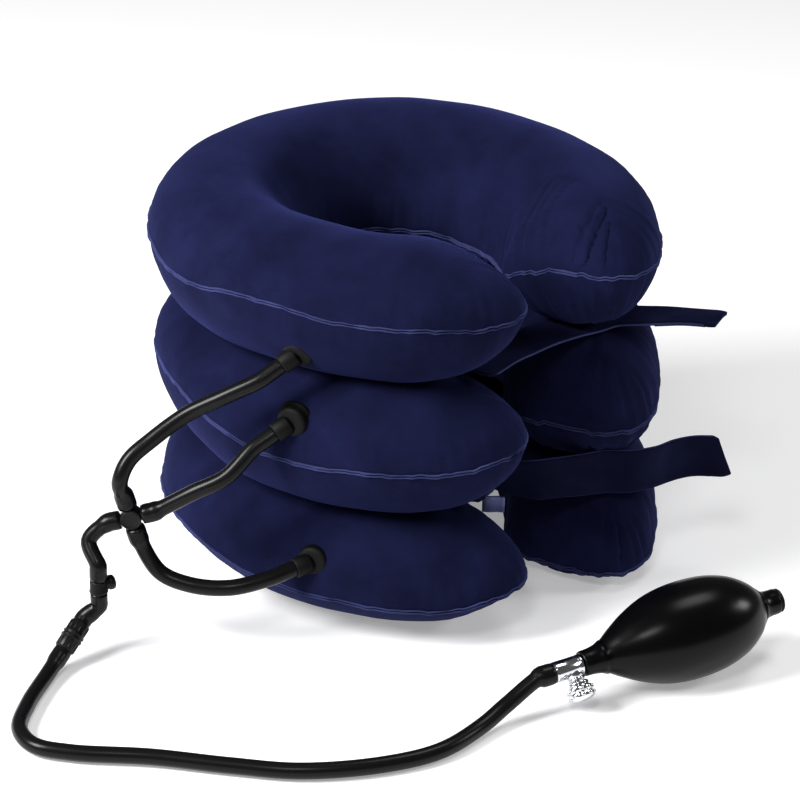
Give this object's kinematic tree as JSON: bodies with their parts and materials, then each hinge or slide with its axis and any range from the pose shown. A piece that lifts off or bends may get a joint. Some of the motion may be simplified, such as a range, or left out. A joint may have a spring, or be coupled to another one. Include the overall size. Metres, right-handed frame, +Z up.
{
  "type": "cervical traction device",
  "caption": "Inflatable neck traction collar of stacked C-shaped air cushions with closing straps, branch hoses and a rubber hand bulb with a release valve.",
  "frame": {"origin": "on the surface the part stands on, under the middle of the box round the collar and the bulb", "axes": "+Z up along the neck, the collar opens towards -Y, the inflation ports face -X"},
  "size_m": [0.3962, 0.343, 0.197],
  "materials": {
    "velour": "flocked velour, matt",
    "velour_shade": "flocked velour, matt",
    "hook_tape": "hook tape, matt",
    "loop_tape": "loop tape, matt",
    "bladder_film": "thin film, satin",
    "hose_rubber": "smooth rubber, semi-gloss",
    "bulb_rubber": "smooth rubber, glossy",
    "black_plastic": "moulded plastic, semi-gloss",
    "chrome": "polished chrome plate",
    "steel": "turned steel"
  },
  "bodies": {
    "root": {"bottom_tier_upper_panel": "velour", "bottom_tier_lower_panel": "velour_shade", "bottom_tier_air_bladder": "bladder_film", "lower_hose": "hose_rubber", "straight_coupling": "black_plastic", "long_hose": "hose_rubber", "squeeze_bulb": "bulb_rubber", "release_valve_body": "chrome", "inlet_valve_body": "black_plastic"},
    "middle_tier": {"middle_tier_upper_panel": "velour", "middle_tier_lower_panel": "velour_shade", "middle_tier_air_bladder": "bladder_film"},
    "top_tier": {"top_tier_upper_panel": "velour", "top_tier_lower_panel": "velour_shade", "top_tier_air_bladder": "bladder_film"},
    "bottom_port": {"bottom_tier_port": "hose_rubber", "branch_hose_bottom": "hose_rubber"},
    "middle_port": {"middle_tier_port": "hose_rubber"},
    "top_port": {"top_tier_port": "hose_rubber"},
    "hose_cross": {"cross_connector": "black_plastic", "branch_hose_top": "hose_rubber", "branch_hose_middle": "hose_rubber"},
    "hose_tee": {"stubbed_tee": "black_plastic", "drop_hose": "hose_rubber"},
    "upper_closing_strap": {"upper_strap": "velour", "upper_strap_hook_patch": "hook_tape"},
    "lower_closing_strap": {"lower_strap": "velour", "lower_strap_hook_patch": "hook_tape", "lower_strap_loop_tab": "loop_tape"},
    "release_stem": {"release_valve_stem": "steel"},
    "release_knob": {"release_valve_knob": "chrome"},
    "outlet_ball": {"outlet_check_ball": "steel"},
    "inlet_ball": {"inlet_check_ball": "steel"}
  },
  "joints": [
    {"name": "collar_collapse", "type": "slide", "parent": "root", "child": "middle_tier", "axis": [0, 0, 1], "range_m": [-0.03596, 0], "deforming": ["bottom_tier_upper_panel", "bottom_tier_lower_panel", "bottom_tier_air_bladder", "middle_tier_upper_panel", "middle_tier_lower_panel", "middle_tier_air_bladder", "top_tier_upper_panel", "top_tier_lower_panel", "top_tier_air_bladder", "branch_hose_top", "branch_hose_middle", "branch_hose_bottom", "drop_hose", "lower_hose", "lower_strap_loop_tab", "upper_strap", "upper_strap_hook_patch", "lower_strap", "lower_strap_hook_patch"]},
    {"name": "top_tier_sink", "type": "slide", "parent": "root", "child": "top_tier", "axis": [0, 0, 1], "range_m": [-0.07608, 0]},
    {"name": "bottom_port_sink", "type": "slide", "parent": "root", "child": "bottom_port", "axis": [0, 0, 1], "range_m": [-0.02417, 0]},
    {"name": "middle_port_sink", "type": "slide", "parent": "root", "child": "middle_port", "axis": [0, 0, 1], "range_m": [-0.06796, 0]},
    {"name": "top_port_sink", "type": "slide", "parent": "root", "child": "top_port", "axis": [0, 0, 1], "range_m": [-0.08478, 0]},
    {"name": "hose_cross_sink", "type": "slide", "parent": "root", "child": "hose_cross", "axis": [0, 0, 1], "range_m": [-0.03954, 0]},
    {"name": "hose_tee_sink", "type": "slide", "parent": "root", "child": "hose_tee", "axis": [0, 0, 1], "range_m": [-0.02098, 0]},
    {"name": "upper_strap_swing", "type": "hinge", "parent": "top_tier", "child": "upper_closing_strap", "pos_m": [-0.03965, -0.03081, 0.131], "axis": [0, 0, 1], "range_deg": [-60, 0]},
    {"name": "lower_strap_swing", "type": "hinge", "parent": "middle_tier", "child": "lower_closing_strap", "pos_m": [-0.04285, -0.02841, 0.062], "axis": [0, 0, 1], "range_deg": [-60, 0]},
    {"name": "release_screw_travel", "type": "slide", "parent": "root", "child": "release_stem", "axis": [-0.2093, -0.6699, -0.7123], "range_m": [0, 0.00112]},
    {"name": "release_screw_turn", "type": "hinge", "parent": "release_stem", "child": "release_knob", "pos_m": [-0.07092, -0.1218, 0.01936], "axis": [-0.2093, -0.6699, -0.7123], "range_deg": [0, 540]},
    {"name": "outlet_valve_open", "type": "slide", "parent": "root", "child": "outlet_ball", "axis": [-0.9286, 0.3644, -0.0699], "range_m": [0, 0.001], "deforming": ["squeeze_bulb"]},
    {"name": "inlet_valve_open", "type": "slide", "parent": "root", "child": "inlet_ball", "axis": [-0.9286, 0.3644, -0.0699], "range_m": [0, 0.001]}
  ],
  "couplings": [
    {"joint": "top_tier_sink", "follows": "collar_collapse", "ratio": 2.1129},
    {"joint": "bottom_port_sink", "follows": "collar_collapse", "ratio": 0.66936},
    {"joint": "middle_port_sink", "follows": "collar_collapse", "ratio": 1.8871},
    {"joint": "top_port_sink", "follows": "collar_collapse", "ratio": 2.3548},
    {"joint": "hose_cross_sink", "follows": "collar_collapse", "ratio": 1.0968},
    {"joint": "hose_tee_sink", "follows": "collar_collapse", "ratio": 0.58064},
    {"joint": "release_screw_turn", "follows": "release_screw_travel", "rad_per_m": 8377.6}
  ]
}
